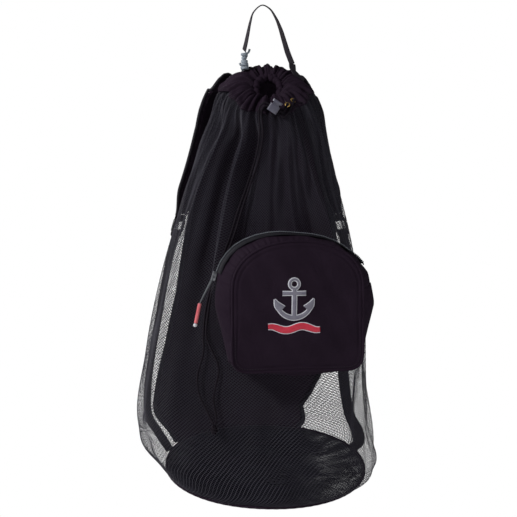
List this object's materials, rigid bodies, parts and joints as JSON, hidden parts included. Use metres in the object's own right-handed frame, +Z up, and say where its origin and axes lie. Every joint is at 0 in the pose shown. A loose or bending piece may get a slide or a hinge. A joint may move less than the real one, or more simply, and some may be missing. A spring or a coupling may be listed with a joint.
{
  "type": "mesh gear bag",
  "caption": "Black mesh dive gear bag hanging by its haul loop, with a drawn-up collar, cord lock, zipped arched pocket, round base and shoulder straps.",
  "frame": {"origin": "underside of the haul loop's top, where a hook bears", "axes": "+Z up along the hanging bag, the pocket faces -Y"},
  "size_m": [0.4027, 0.3582, 0.8261],
  "materials": {
    "net": "open polyester net",
    "nylon": "woven nylon",
    "coated_cloth": "coated cloth with a soft shine",
    "webbing": "ribbed nylon webbing",
    "cord": "braided cord",
    "grey_cord": "braided grey cord",
    "lock_plastic": "moulded",
    "buckle_plastic": "moulded",
    "red_plastic": "soft tube",
    "zip_teeth": "moulded teeth",
    "brass": "rolled eyelet",
    "steel": "dark plated slider"
  },
  "bodies": {
    "bag": {"net": "net", "back_panel": "nylon", "seam_tape_left": "webbing", "seam_tape_right": "webbing", "base": "coated_cloth", "base_piping": "coated_cloth", "eyelet_1": "brass", "eyelet_2": "brass", "collar": "nylon", "cord_lock_body": "lock_plastic", "drawstring_left": "cord", "drawstring_right": "cord", "drawstring_knot": "cord", "haul_loop": "webbing", "loop_knot": "grey_cord", "buckle_left": "buckle_plastic", "buckle_right": "buckle_plastic", "strap_left": "nylon", "strap_right": "nylon", "webbing_left": "webbing", "webbing_right": "webbing", "pocket_gusset": "nylon", "pocket_front": "nylon", "pocket_piping": "nylon", "zip_tape": "webbing", "zip_chain": "zip_teeth", "zip_slider": "steel", "pull_cord": "cord", "pull_grip": "red_plastic", "pull_bead": "grey_cord"},
    "lock_button": {"cord_lock_button": "lock_plastic"}
  },
  "joints": [
    {"name": "button_press", "type": "slide", "parent": "bag", "child": "lock_button", "axis": [-0.5446, 0, -0.8387], "range_m": [0, 0.0035], "stiffness_N_per_m": 600, "springref_m": -0.002}
  ]
}
